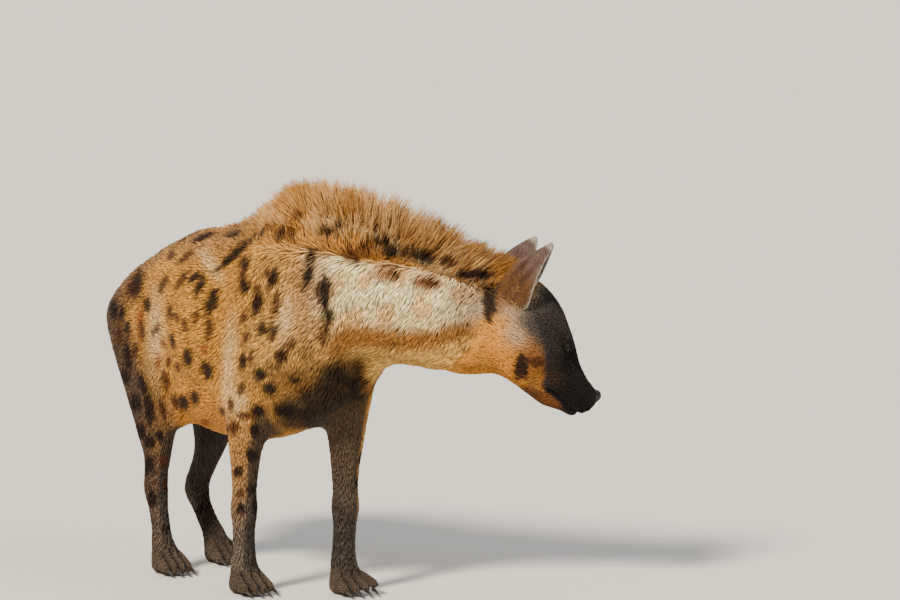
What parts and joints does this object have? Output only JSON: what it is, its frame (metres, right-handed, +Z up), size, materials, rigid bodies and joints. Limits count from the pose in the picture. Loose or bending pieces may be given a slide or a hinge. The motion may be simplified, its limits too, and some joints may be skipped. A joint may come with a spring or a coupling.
{
  "type": "spotted hyena",
  "caption": "Life-size still model of an adult spotted hyena in mid-stride, neck bent to its left, head lowered, with a crest of mane.",
  "frame": {"origin": "on the floor under the middle of the animal's bounding box", "axes": "+X towards the animal's chest, +Y to the animal's left, +Z up"},
  "size_m": [1.0562, 0.6922, 0.8749],
  "materials": {
    "coat": "short dense fur with dark spots",
    "mane_coat": "longer rough fur",
    "face_coat": "very short fur",
    "ear_coat": "short fur over a thin ear",
    "leg_coat": "short fur with dark spots",
    "tail_coat": "long bristly fur",
    "nose_leather": "damp leathery skin",
    "eye": "wet, dark brown",
    "claw": "blunt dark horn"
  },
  "bodies": {
    "root": {"torso": "coat", "neck": "mane_coat", "head": "face_coat", "nose": "nose_leather", "ear_right": "ear_coat", "ear_left": "ear_coat", "eye_right": "eye", "eye_left": "eye", "tail": "tail_coat", "foreleg_right": "leg_coat", "forepaw_right": "leg_coat", "foreleg_left": "leg_coat", "forepaw_left": "leg_coat", "hindleg_right": "leg_coat", "hindpaw_right": "leg_coat", "hindleg_left": "leg_coat", "hindpaw_left": "leg_coat", "forepaw_right_claw_1": "claw", "forepaw_right_claw_2": "claw", "forepaw_right_claw_3": "claw", "forepaw_right_claw_4": "claw", "forepaw_left_claw_1": "claw", "forepaw_left_claw_2": "claw", "forepaw_left_claw_3": "claw", "forepaw_left_claw_4": "claw", "hindpaw_right_claw_1": "claw", "hindpaw_right_claw_2": "claw", "hindpaw_right_claw_3": "claw", "hindpaw_right_claw_4": "claw", "hindpaw_left_claw_1": "claw", "hindpaw_left_claw_2": "claw", "hindpaw_left_claw_3": "claw", "hindpaw_left_claw_4": "claw"}
  },
  "joints": []
}
